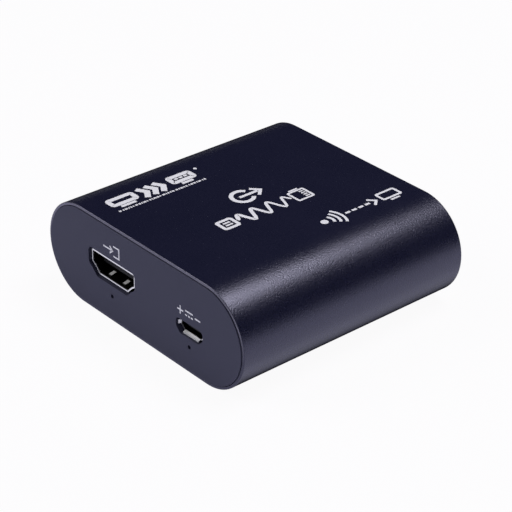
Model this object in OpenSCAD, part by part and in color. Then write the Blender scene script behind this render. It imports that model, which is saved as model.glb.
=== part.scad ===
// Transmitter unit of a video extender: an aluminium sleeve with round sides, an end plate in each
// mouth and one circuit board in rails. X runs across the unit, Y from the input end plate to the
// network end plate, Z up. The origin is on the ground under the middle of the unit. Millimetres.

/* [Sleeve] */
// Width of the sleeve across its round sides
case_w = 64; // [63:0.5:68]
// Height of the sleeve
case_h = 23; // [22.8:0.1:25]
// Length of the sleeve
sleeve_len = 59.6; // [58.8:0.2:66]
// Wall of the sleeve
sleeve_wall = 1; // [0.8:0.05:1.1]
// Wall left round each mouth, where the end plate sits in a step
mouth_wall = 0.6; // [0.5:0.05:0.7]
// Rounding of the sleeve's outer end edges
sleeve_edge_r = 0.2; // [0.1:0.05:0.3]
// Thickness of each rib of the board rails
rail_rib_t = 1.2; // [0.8:0.1:1.6]
// How far the rail ribs reach in over the board's edge
rail_grip = 1.4; // [0.8:0.1:2]
// Set-back of the rails from the sleeve's mouths
rail_setback = 2.8; // [2.4:0.1:3.4]

/* [End plates] */
// Thickness of an end plate
plate_t = 1.6; // [1.2:0.1:1.8]
// How far an end plate stands out of the sleeve
plate_proud = 0.2; // [0.1:0.05:0.3]
// Gap between an end plate's edge and the sleeve
plate_gap = 0.12; // [0.08:0.01:0.2]
// Rounding of an end plate's outer edge
plate_edge_r = 0.12; // [0.05:0.01:0.2]
// Wall of the skirt behind an end plate
skirt_wall = 0.8; // [0.6:0.05:0.9]
// Width of a crush rib, which holds the skirt tight in the sleeve
crush_rib_w = 1.5; // [1:0.1:3]
// Diameter of the pinhole in front of each status lamp
pinhole_d = 0.95; // [0.6:0.05:1.3]

/* [Circuit board] */
// Thickness of the board
board_t = 1.6; // [1.4:0.1:1.7]
// Height of the board's upper side above the ground
board_top = 8.6; // [8.2:0.1:8.9]
// Gap above and below the board in its rails
board_slot_gap = 0.1; // [0.05:0.01:0.2]
// Gap between the board's edge and the sleeve
board_side_gap = 0.4; // [0.2:0.05:0.8]
// Gap between the board's end and an end plate
board_end_gap = 0.2; // [0.1:0.05:0.3]
// Gap round a leg or pin in its hole in the board
solder_gap = 0.1; // [0.05:0.01:0.15]

/* [Video socket] */
// Distance of the socket's middle left of the unit's middle
video_x = 9.9; // [9:0.1:11]
// Width of the socket's shell
video_w = 14.6; // [14.4:0.1:15]
// Height of the socket's shell
video_h = 5.15; // [5:0.05:5.5]
// Length of the socket's shell
video_len = 11; // [10:0.1:11.6]
// Gap between the shell and the board
video_lift = 0.68; // [0.4:0.02:0.9]
// Sheet thickness of the shell
video_sheet = 0.3; // [0.2:0.05:0.35]
// How far the shell's mouth lies behind the plate's face
video_setback = 0.5; // [0.3:0.05:0.8]
// Gap round the shell in the input plate
video_window_gap = 0.55; // [0.3:0.05:0.7]
// Width of the tongue
video_tongue_w = 10.8; // [10.4:0.1:11.4]
// Thickness of the tongue
video_tongue_t = 1.1; // [0.9:0.05:1.3]
// Number of contacts
video_contacts_n = 19; // [11:2:21]
// Distance from contact to contact along the tails
video_pitch = 0.5; // [0.46:0.01:0.5]
// Width of a contact
video_contact_w = 0.28; // [0.2:0.01:0.32]
// Thickness of a contact
video_contact_t = 0.15; // [0.1:0.01:0.2]
// Width of each spring finger in the shell
video_finger_w = 1; // [0.8:0.05:1.3]
// Length of each spring finger
video_finger_len = 4; // [3.4:0.1:4.2]

/* [Power socket] */
// Distance of the socket's middle right of the unit's middle
power_x = 15.45; // [14.8:0.05:16.5]
// Width of the socket's shell
power_w = 7.5; // [7.3:0.1:7.7]
// Height of the socket's shell
power_h = 2.5; // [2.4:0.05:2.7]
// Length of the socket's shell
power_len = 5; // [4.6:0.1:5.6]
// Sheet thickness of the shell
power_sheet = 0.25; // [0.2:0.01:0.3]
// How far the lips lie behind the plate's face
power_setback = 0.4; // [0.3:0.05:0.6]
// Gap round the shell in the input plate
power_window_gap = 0.45; // [0.4:0.01:0.6]
// How far each lip of the mouth flares out
power_lip_flare = 0.3; // [0.2:0.01:0.35]
// Length of a lip
power_lip_len = 0.6; // [0.4:0.05:0.8]
// Width of the tongue
power_tongue_w = 3.6; // [3.4:0.1:4]
// Thickness of the tongue
power_tongue_t = 0.6; // [0.5:0.05:0.7]
// Number of contacts
power_contacts_n = 5; // [3:2:5]
// Distance from contact to contact
power_pitch = 0.65; // [0.6:0.01:0.7]
// Width of a contact
power_contact_w = 0.3; // [0.2:0.01:0.4]
// Thickness of a contact
power_contact_t = 0.15; // [0.1:0.01:0.18]

/* [Status lamps] */
// Width of a lamp
lamp_w = 3; // [2.4:0.1:3.4]
// Height of a lamp
lamp_h = 1.6; // [1.4:0.1:1.7]
// Depth of a lamp
lamp_d = 1.2; // [1:0.1:1.6]
// Diameter of the lens in a lamp's front
lamp_lens_d = 1.1; // [0.8:0.05:1.2]

/* [Network jack] */
// Width of the jack's housing
jack_w = 15.6; // [15.4:0.1:16]
// Height of the jack's housing
jack_h = 11.5; // [11.3:0.1:11.6]
// Length of the jack's housing
jack_len = 13.4; // [13:0.1:14]
// Sheet thickness of the jack's shield
jack_sheet = 0.25; // [0.2:0.01:0.3]
// Gap between the housing and the shield
jack_sheet_gap = 0.03; // [0.02:0.01:0.06]
// How far the jack's mouth lies behind the plate's face
jack_setback = 0.3; // [0.2:0.05:0.5]
// Gap round the jack in the network plate
jack_window_gap = 0.3; // [0.2:0.05:0.4]
// Width of the space for the plug
plug_w = 11.8; // [11.7:0.05:12]
// Height of the space for the plug
plug_h = 6.8; // [6.7:0.05:7]
// Depth of the space for the plug
plug_d = 11.6; // [11.2:0.1:12]
// Width of the slot for the plug's latch
latch_w = 6.3; // [6.1:0.1:6.5]
// Width of the latch slot's narrow step
latch_step_w = 3.5; // [3.3:0.1:3.8]
// Height of each of the latch slot's two steps
latch_step_h = 1.2; // [1.1:0.05:1.25]
// Number of spring contacts
spring_n = 8; // [4:2:8]
// Distance from spring contact to spring contact
spring_pitch = 1.02; // [1:0.01:1.1]
// Diameter of the contact wire
wire_d = 0.45; // [0.35:0.01:0.46]
// Length of each free spring from its bend to its tip
spring_len = 9; // [8:0.1:9.4]
// Slope of the free springs down into the plug's space, in degrees
spring_slope = 16; // [14:1:17]
// How far the free springs swing up when a plug goes in, in degrees
spring_travel = 10; // [8:1:10]
// Radius of the wire's bend at the jack's mouth
bend_r = 0.45; // [0.4:0.01:0.46]
// Width of each lamp in the jack
jack_lamp_w = 2.8; // [2.2:0.1:2.9]
// Height of each lamp in the jack
jack_lamp_h = 1.9; // [1.6:0.1:2]
// Length of each lamp in the jack
jack_lamp_len = 6.5; // [5:0.1:8]
// Diameter of the jack's locating posts
post_d = 3.2; // [2.8:0.1:3.4]

/* [Chips and parts on the board] */
// Side of the transmitter chip's square body
chip_w = 14; // [12:0.5:14.4]
// Thickness of the transmitter chip's body
chip_t = 1.4; // [1:0.1:1.6]
// Height of the chips' bodies above the board
chip_stand = 0.1; // [0.05:0.01:0.15]
// Reach of a chip's leads past its body
lead_reach = 1; // [0.8:0.05:1.2]
// Thickness of a chip's leads
lead_t = 0.15; // [0.1:0.01:0.2]
// Leads on each side of the transmitter chip
chip_leads_n = 16; // [8:1:17]
// Distance from lead to lead of the transmitter chip
chip_pitch = 0.8; // [0.6:0.05:0.8]
// Thickness of the heat pad on the transmitter chip
heat_pad_t = 0.5; // [0.3:0.1:1]
// Thickness of the heat sink's base
sink_base_t = 1.2; // [1:0.1:1.6]
// Height of the heat sink's fins
sink_fin_h = 4.4; // [3:0.1:5]
// Thickness of a heat sink fin
sink_fin_t = 0.9; // [0.6:0.05:1.1]
// Number of heat sink fins
sink_fins_n = 6; // [4:1:7]
// Width of the line transformer's body
coil_box_w = 12.7; // [11:0.1:13]
// Depth of the line transformer's body
coil_box_d = 7.1; // [6.6:0.1:7.4]
// Height of the line transformer's body
coil_box_h = 5.6; // [4.5:0.1:6]
// Leads on each side of the line transformer
coil_box_leads_n = 12; // [8:1:12]
// Distance from lead to lead of the line transformer
coil_box_pitch = 1; // [0.9:0.01:1]
// Diameter of a storage capacitor's can
can_d = 6.3; // [5:0.1:6.4]
// Height of a storage capacitor's can
can_h = 5; // [4:0.1:6]
// Height of a storage capacitor's base
can_base_h = 0.9; // [0.6:0.1:1.2]
// Side of the power inductor
inductor_w = 7; // [6:0.1:7.2]
// Height of the power inductor
inductor_h = 3.2; // [2.4:0.1:4]
// Length of the crystal's can
crystal_len = 10.2; // [9:0.1:10.6]
// Width of the crystal's can
crystal_w = 3.8; // [3.4:0.1:4]
// Height of the crystal's can
crystal_h = 3.2; // [2.6:0.1:3.6]

/* [Hidden] */
$fn = 48;
// Facets of the large round sides in a preview
side_fn = 128;
// Points along one rounded corner of an outline
corner_steps = 5;
// Overrun of cuts
over = 0.5;

// Sleeve: the section is a rectangle between two half rounds
side_r = case_h / 2;
straight_w = case_w - case_h;
bore_r = side_r - sleeve_wall;
mid_z = case_h / 2;
mouth_y = sleeve_len / 2;
face_y = mouth_y + plate_proud;
rail_end_y = mouth_y - rail_setback;

// End plates: each has a flange in the mouth's step and a skirt in the bore
mouth_r = side_r - mouth_wall;
flange_r = mouth_r - plate_gap;
plate_r = bore_r - plate_gap;
plate_back_y = face_y - plate_t;
step_gap = 0.05;
step_y = plate_back_y - step_gap;
skirt_r = plate_r - skirt_wall;
crush_rib_share = 0.7;
board_notch_gap = 2 * board_slot_gap;

// Half the inside width of the sleeve at a height above the ground
function bore_reach(z) = straight_w / 2 + sqrt(pow(bore_r, 2) - pow(z - mid_z, 2));

// Circuit board
board_under = board_top - board_t;
board_half_w = min(bore_reach(board_under), bore_reach(board_top)) - board_side_gap;
board_half_l = plate_back_y - board_end_gap;
pin_below = 0.9;
pin_tip_z = board_under - pin_below;

// Video socket: the shell's outline, from the bottom right corner anticlockwise
video_z = board_top + video_lift + video_h / 2;
video_front_y = -face_y + video_setback;
video_back_y = video_front_y + video_len;
video_corner_r = 0.5;
video_foot_share = 0.665;
video_knee_share = 0.85;
video_knee_z_share = 0.46;
video_shoulder_z_share = 0.16;
video_corners = [
    [video_w / 2 * video_foot_share, -video_h / 2, video_corner_r],
    [video_w / 2 * video_knee_share, -video_h / 2 * video_knee_z_share, video_corner_r],
    [video_w / 2, -video_h / 2 * video_shoulder_z_share, video_corner_r],
    [video_w / 2, video_h / 2, video_corner_r],
    [-video_w / 2, video_h / 2, video_corner_r],
    [-video_w / 2, -video_h / 2 * video_shoulder_z_share, video_corner_r],
    [-video_w / 2 * video_knee_share, -video_h / 2 * video_knee_z_share, video_corner_r],
    [-video_w / 2 * video_foot_share, -video_h / 2, video_corner_r]];
video_tongue_setback = 1.6;
video_tongue_rise = 0.3;
video_block_len = 3.2;
video_foot_w = 7.6;
video_foot_len = 2.4;
video_tail_gap = 0.35;
video_tail_len = 0.9;
video_contact_cut = 0.02;
video_finger_gap = 0.25;
video_finger_x_share = 0.165;
video_finger_bow = 0.55;
video_finger_tip = 0.25;
video_finger_root = 6.2;
video_leg_w = 1.2;
video_leg_share = [0.27, 0.8];
video_tail_y = video_back_y + video_tail_gap;

// Power socket
power_z = board_top + power_h / 2;
power_front_y = -face_y + power_setback;
power_back_y = power_front_y + power_len;
power_corner_r = 0.5;
power_foot_share = 0.7;
power_knee_z_share = 0.1;
power_corners = [
    [power_w / 2 * power_foot_share, -power_h / 2, power_corner_r],
    [power_w / 2, -power_h / 2 * power_knee_z_share, power_corner_r],
    [power_w / 2, power_h / 2, power_corner_r],
    [-power_w / 2, power_h / 2, power_corner_r],
    [-power_w / 2, -power_h / 2 * power_knee_z_share, power_corner_r],
    [-power_w / 2 * power_foot_share, -power_h / 2, power_corner_r]];
power_lip_share = [0.92, 0.84];
power_side_lip_share = 0.68;
power_tongue_setback = 1;
power_tongue_under = 0.05;
power_block_len = 1.5;
power_tail_len = 0.6;
power_contact_cut = 0.02;
power_wing_w = 1.2;
power_wing_len = 1.5;
power_wing_share = 0.62;

// Network jack: local Y runs in from the mouth, local Z up from the board
jack_y = face_y - jack_setback;
jack_front = jack_sheet + jack_sheet_gap;
jack_roof_t = 1.5;
plug_top = jack_h - jack_roof_t;
plug_floor = plug_top - plug_h;
tail_gap = 0.1;
tail_row_step = 0.85;
tail_y = jack_front + jack_len + tail_gap + wire_d / 2;
shield_gap_behind = 0.15;
shield_back = tail_y + tail_row_step + wire_d / 2 + shield_gap_behind;
shield_half_w = jack_w / 2 + jack_sheet_gap + jack_sheet;
shield_top = jack_h + jack_sheet_gap + jack_sheet;
shield_rim = 0.1;
groove_gap = 0.1;
pivot_inset = 1.1;
pivot_y = jack_front + pivot_inset;
pivot_lift = 0.2;
pivot_z = plug_top + pivot_lift;
run_z = pivot_z + 2 * bend_r;
pivot_gap = 0.04;
bend_stop = 2 * asin((wire_d / 2 + pivot_gap) / (2 * bend_r));
slot_len = (pivot_z - plug_top + wire_d / 2 + groove_gap) / tan(spring_slope - spring_travel);
jack_lamp_gap = 0.05;
jack_lamp_side = 0.5;
jack_lamp_lift = 0.6;
jack_lamp_x = jack_w / 2 - jack_lamp_side - jack_lamp_w / 2;
jack_lamp_pin = 0.45;
jack_lamp_pin_y_share = [0.45, 0.85];
post_x_share = 0.72;
post_y_share = 0.62;
post_tip = 0.3;
shield_leg_w = 1.8;
shield_leg_y_share = 0.4;

// Transmitter chip with its heat sink, midway between the video socket and the line transformer
coil_box_gap = 0.7;
coil_box_y = jack_y - shield_back - coil_box_gap - lead_reach - coil_box_d / 2;
chip_x_share = 0.55;
chip_x = -video_x * chip_x_share;
chip_y = (video_tail_y + video_tail_len + coil_box_y - coil_box_d / 2 - lead_reach) / 2;
chip_lead_w_share = 0.5;
chip_top = board_top + chip_stand + chip_t;
pin_mark_d = 0.9;
pin_mark_deep = 0.1;
pin_mark_inset = 1.4;

// Smaller parts: places are shares of half the board's width and half its length
equaliser_w = 5;
equaliser_t = 0.85;
equaliser_share = [0.13, -0.68];
memory_w = 3.9;
memory_l = 4.9;
memory_t = 1.4;
memory_leads_n = 4;
memory_pitch = 1.27;
memory_share = [-0.66, -0.28];
regulator_w = 6.5;
regulator_d = 3.5;
regulator_t = 1.6;
regulator_pitch = 2.3;
regulator_lead_w = 0.7;
regulator_tab_w = 3;
regulator_share = [0.42, -0.56];
inductor_share = [0.47, -0.22];
inductor_corner_r = 1.2;
coil_ring_share = [0.68, 0.86];
coil_ring_deep = 1.2;
can_places_share = [[0.8, -0.48], [0.8, -0.16]];
can_base_margin = 0.15;
can_bead_r = 0.3;
can_bead_z_share = 0.22;
crystal_share = [-0.7, 0.24];
crystal_base_h = 0.7;
crystal_base_margin = 0.45;
arrester_w = 2.9;
arrester_d = 1.6;
arrester_t = 1;
arrester_places_share = [[-0.76, -0.6], [0.13, -0.5], [0.33, 0.1], [0.33, 0.24]];
ceramic_w = 2;
ceramic_d = 1.25;
ceramic_t = 0.9;
ceramic_places_share = [[-0.06, -0.66], [0.6, -0.66], [0.18, -0.32], [0.18, -0.2], [0.18, -0.08],
    [0.7, 0.1], [0.84, 0.1], [0.7, 0.2], [0.84, 0.2], [0.45, 0.56], [0.45, 0.66], [-0.45, 0.56],
    [-0.45, 0.66], [-0.84, -0.4]];
resistor_w = 1.6;
resistor_d = 0.8;
resistor_t = 0.45;
resistor_places_share = [[-0.8, -0.7], [-0.8, -0.76], [-0.84, -0.1], [-0.84, -0.04], [-0.84, 0.02],
    [-0.36, 0.24], [-0.36, 0.32], [-0.42, 0.4], [0.6, 0.32], [0.7, 0.32], [0.6, 0.42], [0.7, 0.42],
    [0.3, -0.8], [0.3, -0.74]];
edge_clear = 0.02;

// Vector of length 1 along v
function unit(v) = v / norm(v);

// Points of an anticlockwise outline whose corners [x, y, radius] are rounded
function rounded(corners) = [
    for (i = [0 : len(corners) - 1])
        let (n = len(corners),
            here = [corners[i][0], corners[i][1]],
            before = [corners[(i + n - 1) % n][0], corners[(i + n - 1) % n][1]],
            after = [corners[(i + 1) % n][0], corners[(i + 1) % n][1]],
            back = unit(before - here),
            ahead = unit(after - here),
            half = acos(back * ahead) / 2,
            centre = here + unit(back + ahead) * corners[i][2] / sin(half),
            start = here + back * corners[i][2] / tan(half) - centre,
            finish = here + ahead * corners[i][2] / tan(half) - centre,
            turn = 180 - 2 * half)
        for (k = [0 : corner_steps])
            let (t = k / corner_steps)
            centre + (sin((1 - t) * turn) * start + sin(t * turn) * finish) / sin(turn)];

// The same corners moved outward by d, or inward where d is negative
function grown(corners, d) = [
    for (i = [0 : len(corners) - 1])
        let (n = len(corners),
            here = [corners[i][0], corners[i][1]],
            before = [corners[(i + n - 1) % n][0], corners[(i + n - 1) % n][1]],
            after = [corners[(i + 1) % n][0], corners[(i + 1) % n][1]],
            into = unit(here - before),
            out = unit(after - here),
            n1 = [into[1], -into[0]],
            n2 = [out[1], -out[0]],
            moved = here + d * (n1 + n2) / (1 + n1 * n2),
            swell = into[0] * out[1] - into[1] * out[0] > 0 ? d : -d)
        [moved[0], moved[1], max(corners[i][2] + swell, corners[i][2] / 4)]];

// Box with its low corner at low and its high corner at high
module span(low, high) {
    translate(low) cube(high - low);
}

// Prism along Y of an outline drawn in X and Z
module prism_y(y0, y1) {
    translate([0, y1, 0]) rotate([90, 0, 0]) linear_extrude(y1 - y0) children();
}

// Prism along X of an outline drawn in Y and Z, centred on X
module prism_x(width) {
    translate([-width / 2, 0, 0]) rotate([90, 0, 90]) linear_extrude(width) children();
}

// The case's section with its side radius drawn in to r, in X and Z
module section(r) {
    translate([-straight_w / 2, mid_z - r]) square([straight_w, 2 * r]);
    for (side = [-1, 1]) translate([side * straight_w / 2, mid_z]) circle(r, $fn = side_fn);
}

// Half of a disc's section: radius along X, depth along Y, with rounded outer edges
module disc_half(r, depth, near_r, far_r) {
    translate([0, near_r]) square([r, depth - near_r - far_r]);
    if (near_r > 0) {
        square([r - near_r, 2 * near_r]);
        translate([r - near_r, near_r]) circle(near_r);
    }
    if (far_r > 0) {
        translate([0, depth - 2 * far_r]) square([r - far_r, 2 * far_r]);
        translate([r - far_r, depth - far_r]) circle(far_r);
    }
}

// Block with the case's section, from y0 to y1, its edges rounded by near_r at y0 and far_r at y1
module section_block(r, y0, y1, near_r, far_r) {
    translate([0, y0, mid_z]) {
        for (side = [0, 1]) mirror([side, 0, 0])
            translate([straight_w / 2, 0, 0]) mirror([0, 1, 0]) rotate([90, 0, 0])
                rotate([0, 0, -90]) rotate_extrude(angle = 180, $fn = side_fn)
                    disc_half(r, y1 - y0, near_r, far_r);
        for (half = [0, 1]) mirror([0, 0, half])
            prism_x(straight_w) mirror([1, -1]) disc_half(r, y1 - y0, near_r, far_r);
    }
}

// Aluminium extrusion with the two board rails inside
module sleeve() color([0.1, 0.1, 0.15]) {
    difference() {
        section_block(side_r, -mouth_y, mouth_y, sleeve_edge_r, sleeve_edge_r);
        prism_y(-mouth_y - over, mouth_y + over) section(bore_r);
        for (end = [0, 1]) mirror([0, end, 0]) prism_y(step_y, mouth_y + over) section(mouth_r);
    }
    intersection() {
        prism_y(-rail_end_y, rail_end_y) section(bore_r + sleeve_wall / 2);
        for (side = [0, 1]) mirror([side, 0, 0]) {
            span([board_half_w - rail_grip, -rail_end_y, board_top + board_slot_gap],
                [case_w / 2, rail_end_y, board_top + board_slot_gap + rail_rib_t]);
            span([board_half_w - rail_grip, -rail_end_y, board_under - board_slot_gap - rail_rib_t],
                [case_w / 2, rail_end_y, board_under - board_slot_gap]);
        }
    }
}

// End plate at the network end without its windows: flange, skirt and crush ribs
module blank_end_plate() {
    difference() {
        union() {
            section_block(flange_r, plate_back_y, face_y, 0, plate_edge_r);
            section_block(plate_r, rail_end_y, plate_back_y + plate_t / 2, 0, 0);
        }
        prism_y(rail_end_y - over, plate_back_y) section(skirt_r);
        span([-case_w / 2, rail_end_y - over, board_under - board_notch_gap],
            [case_w / 2, plate_back_y, board_top + board_notch_gap]);
    }
    for (side = [-1, 1], half = [0, 1])
        translate([side * crush_rib_share * straight_w / 2 - crush_rib_w / 2, 0, half * case_h])
            mirror([0, 0, half]) span([0, rail_end_y, sleeve_wall],
                [crush_rib_w, plate_back_y, sleeve_wall + plate_gap + skirt_wall / 2]);
}

// Moulded plate round the video socket, the power socket and the two pinholes
module input_end_plate() color([0.26, 0.26, 0.32]) difference() {
    mirror([0, 1, 0]) blank_end_plate();
    translate([-video_x, 0, video_z]) prism_y(-face_y - over, -plate_back_y + over)
        polygon(rounded(grown(video_corners, video_window_gap)));
    translate([power_x, 0, power_z]) prism_y(-face_y - over, -plate_back_y + over)
        polygon(rounded(grown(power_corners, power_window_gap)));
    for (x = [-video_x, power_x]) translate([x, 0, board_under - lamp_h / 2])
        prism_y(-face_y - over, -plate_back_y + over) circle(d = pinhole_d);
}

// Moulded plate round the network jack
module network_end_plate() color([0.26, 0.26, 0.32]) difference() {
    blank_end_plate();
    span([-shield_half_w - jack_window_gap, plate_back_y - over, board_top - jack_window_gap],
        [shield_half_w + jack_window_gap, face_y + over, board_top + shield_top + jack_window_gap]);
}

// Round hole through the board for a post or pin of diameter d
module board_hole(x, y, d) {
    translate([x, y, board_under - over]) cylinder(h = board_t + 2 * over, d = d + 2 * solder_gap);
}

// Slot through the board for a flat leg
module board_slot(x, y, w, l) {
    span([x - w / 2 - solder_gap, y - l / 2 - solder_gap, board_under - over],
        [x + w / 2 + solder_gap, y + l / 2 + solder_gap, board_top + over]);
}

// Board with the holes for every leg, post and pin
module circuit_board() color([0.05, 0.3, 0.16]) difference() {
    span([-board_half_w, -board_half_l, board_under], [board_half_w, board_half_l, board_top]);
    for (side = [-1, 1], share = video_leg_share)
        board_slot(-video_x + side * (video_w - video_sheet) / 2, video_front_y + share * video_len,
            video_sheet, video_leg_w);
    for (side = [-1, 1]) {
        board_hole(side * post_x_share * jack_w / 2, jack_y - jack_front - post_y_share * jack_len,
            post_d);
        board_slot(side * (shield_half_w - jack_sheet / 2), jack_y - shield_leg_y_share * shield_back,
            jack_sheet, shield_leg_w);
        for (share = jack_lamp_pin_y_share)
            board_hole(side * jack_lamp_x, jack_y - jack_front - share * jack_lamp_len, jack_lamp_pin);
    }
    for (i = [0 : spring_n - 1]) board_hole(spring_x(i), jack_y - tail_row_y(i), wire_d);
}

// Spring finger cut from the video socket's shell, bent into its mouth
module video_finger(top) {
    bow = video_h / 2 - video_sheet;
    root = video_len - video_finger_root;
    tip = root - video_finger_len;
    mirror([0, 0, top ? 0 : 1]) prism_x(video_finger_w) polygon([
        [root, bow], [root, bow + video_sheet],
        [(root + tip * 2) / 3, bow + video_sheet - video_finger_bow],
        [tip, bow + video_sheet - video_finger_tip], [tip, bow - video_finger_tip],
        [(root + tip * 2) / 3, bow - video_finger_bow]]);
}

// Stamped steel shell with its spring fingers and four legs through the board
module video_socket_shell() color([0.75, 0.75, 0.76]) translate([-video_x, video_front_y, video_z]) {
    root = video_len - video_finger_root;
    finger_x = video_w * video_finger_x_share;
    difference() {
        prism_y(0, video_len) polygon(rounded(video_corners));
        prism_y(-over, video_len + over) polygon(rounded(grown(video_corners, -video_sheet)));
        for (side = [-1, 1], top = [0, 1])
            translate([side * finger_x, 0, 0]) mirror([0, 0, 1 - top])
                span([-video_finger_w / 2 - video_finger_gap, root - video_finger_len - video_finger_gap,
                    video_h / 2 - 2 * video_sheet],
                    [video_finger_w / 2 + video_finger_gap, root, video_h / 2 + over]);
        span([-video_foot_w / 2, video_len - video_foot_len, -video_h],
            [video_foot_w / 2, video_len + over, 0]);
    }
    for (side = [-1, 1]) {
        for (top = [0, 1]) translate([side * finger_x, 0, 0]) video_finger(top == 1);
        for (share = video_leg_share) translate([side * (video_w - video_sheet) / 2, share * video_len, 0])
            span([-video_sheet / 2, -video_leg_w / 2, pin_tip_z - video_z],
                [video_sheet / 2, video_leg_w / 2, video_h / 4]);
    }
}

// Place across the socket of contact i, and whether it lies on the tongue's upper side
function video_contact_x(i) = (i - (video_contacts_n - 1) / 2) * video_pitch;
function video_contact_z(i) = video_tongue_rise
    + (i % 2 == 0 ? video_tongue_t / 2 - video_contact_t : -video_tongue_t / 2);

// Tongue and rear block that hold the video contacts, with a foot on the board
module video_socket_insulator() color([0.06, 0.06, 0.06])
    translate([-video_x, video_front_y, video_z]) difference() {
    union() {
        prism_y(video_len - video_block_len, video_len)
            polygon(rounded(grown(video_corners, -video_sheet - edge_clear)));
        span([-video_tongue_w / 2, video_tongue_setback, video_tongue_rise - video_tongue_t / 2],
            [video_tongue_w / 2, video_len, video_tongue_rise + video_tongue_t / 2]);
        span([-video_foot_w / 2 + edge_clear, video_len - video_foot_len + edge_clear, board_top - video_z],
            [video_foot_w / 2 - edge_clear, video_len, 0]);
    }
    for (i = [0 : video_contacts_n - 1])
        translate([video_contact_x(i), 0, video_contact_z(i)])
            span([-video_contact_w / 2 - video_contact_cut, video_tongue_setback + video_contact_w,
                i % 2 == 0 ? 0 : -video_contact_cut],
                [video_contact_w / 2 + video_contact_cut, video_len + over,
                    video_contact_t + (i % 2 == 0 ? video_contact_cut : 0)]);
}

// Gold-plated strips along the tongue, down behind the socket and out along the board
module video_socket_contacts() color([0.85, 0.68, 0.3])
    for (i = [0 : video_contacts_n - 1]) translate([-video_x + video_contact_x(i), 0, 0]) {
        z = video_z + video_contact_z(i);
        prism_x(video_contact_w) polygon([
            [video_front_y + video_tongue_setback + video_contact_w, z],
            [video_tail_y, z], [video_tail_y, board_top],
            [video_tail_y + video_tail_len, board_top],
            [video_tail_y + video_tail_len, board_top + video_contact_t],
            [video_tail_y + video_contact_t, board_top + video_contact_t],
            [video_tail_y + video_contact_t, z + video_contact_t],
            [video_front_y + video_tongue_setback + video_contact_w, z + video_contact_t]]);
    }

// Steel shell of the power socket, with flared lips and wings soldered to the board
module power_socket_shell() color([0.78, 0.78, 0.8]) translate([power_x, power_front_y, power_z]) {
    wing_y = power_wing_share * power_len;
    difference() {
        prism_y(power_lip_len, power_len) polygon(rounded(power_corners));
        prism_y(-over, power_len + over) polygon(rounded(grown(power_corners, -power_sheet)));
    }
    for (top = [0, 1]) mirror([0, 0, 1 - top])
        prism_x(power_w * (top == 1 ? 1 : power_foot_share) * power_lip_share[top]) polygon([
            [power_lip_len + power_sheet, power_h / 2 - power_sheet],
            [power_lip_len + power_sheet, power_h / 2], [power_lip_len, power_h / 2],
            [0, power_h / 2 + power_lip_flare], [0, power_h / 2 + power_lip_flare - power_sheet],
            [power_lip_len, power_h / 2 - power_sheet]]);
    for (side = [-1, 1]) {
        translate([side * power_w / 2, 0, 0]) linear_extrude(power_h * power_side_lip_share / 2) polygon([
            [-side * power_sheet, power_lip_len + power_sheet], [0, power_lip_len + power_sheet],
            [0, power_lip_len], [side * power_lip_flare, 0],
            [side * (power_lip_flare - power_sheet), 0], [-side * power_sheet, power_lip_len]]);
        mirror([side > 0 ? 0 : 1, 0, 0])
            span([power_w / 2 * power_foot_share - power_sheet, wing_y - power_wing_len / 2, -power_h / 2],
                [power_w / 2 + power_wing_w, wing_y + power_wing_len / 2, -power_h / 2 + power_sheet]);
    }
}

// Tongue and rear block of the power socket
module power_socket_insulator() color([0.06, 0.06, 0.06]) translate([power_x, power_front_y, power_z])
    difference() {
        union() {
            prism_y(power_len - power_block_len, power_len)
                polygon(rounded(grown(power_corners, -power_sheet - edge_clear)));
            span([-power_tongue_w / 2, power_tongue_setback, power_tongue_under],
                [power_tongue_w / 2, power_len, power_tongue_under + power_tongue_t]);
        }
        for (i = [0 : power_contacts_n - 1]) translate([power_contact_x(i), 0, power_tongue_under])
            span([-power_contact_w / 2 - power_contact_cut, power_tongue_setback + power_contact_w,
                -power_contact_cut],
                [power_contact_w / 2 + power_contact_cut, power_len + over, power_contact_t]);
    }

// Place across the power socket of contact i
function power_contact_x(i) = (i - (power_contacts_n - 1) / 2) * power_pitch;

// Gold-plated strips under the tongue, down behind the socket and out along the board
module power_socket_contacts() color([0.85, 0.68, 0.3])
    for (i = [0 : power_contacts_n - 1]) translate([power_x + power_contact_x(i), 0, 0]) {
        z = power_z + power_tongue_under;
        front = power_front_y + power_tongue_setback + power_contact_w;
        prism_x(power_contact_w) polygon([
            [front, z], [power_back_y + power_contact_t, z],
            [power_back_y + power_contact_t, board_top], [power_back_y + power_tail_len, board_top],
            [power_back_y + power_tail_len, board_top + power_contact_t],
            [power_back_y + 2 * power_contact_t, board_top + power_contact_t],
            [power_back_y + 2 * power_contact_t, z + power_contact_t], [front, z + power_contact_t]]);
    }

// Side-looking lamp under the board's front edge, behind a pinhole at x
module status_lamp(x) {
    translate([x, -board_half_l, board_under - lamp_h]) difference() {
        span([-lamp_w / 2, 0, 0], [lamp_w / 2, lamp_d, lamp_h]);
        translate([0, 0, lamp_h / 2]) prism_y(-over, lamp_d / 2) circle(d = lamp_lens_d);
    }
}

module signal_lamp() color([0.9, 0.9, 0.86]) status_lamp(-video_x);

module power_lamp() color([0.9, 0.9, 0.86]) status_lamp(power_x);

module lamp_lenses() color([0.9, 0.95, 0.8]) for (x = [-video_x, power_x])
    translate([x, -board_half_l, board_under - lamp_h / 2])
        prism_y(0, lamp_d / 2) circle(d = lamp_lens_d - 2 * edge_clear);

// Network jack: place of spring i across the jack, and its tail's distance from the mouth
function spring_x(i) = (i - (spring_n - 1) / 2) * spring_pitch;
function tail_row_y(i) = tail_y + (i % 2) * tail_row_step;

// Puts children into the jack's place, with local Y running in from its mouth
module at_jack() {
    translate([0, jack_y, board_top]) mirror([0, 1, 0]) children();
}

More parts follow.
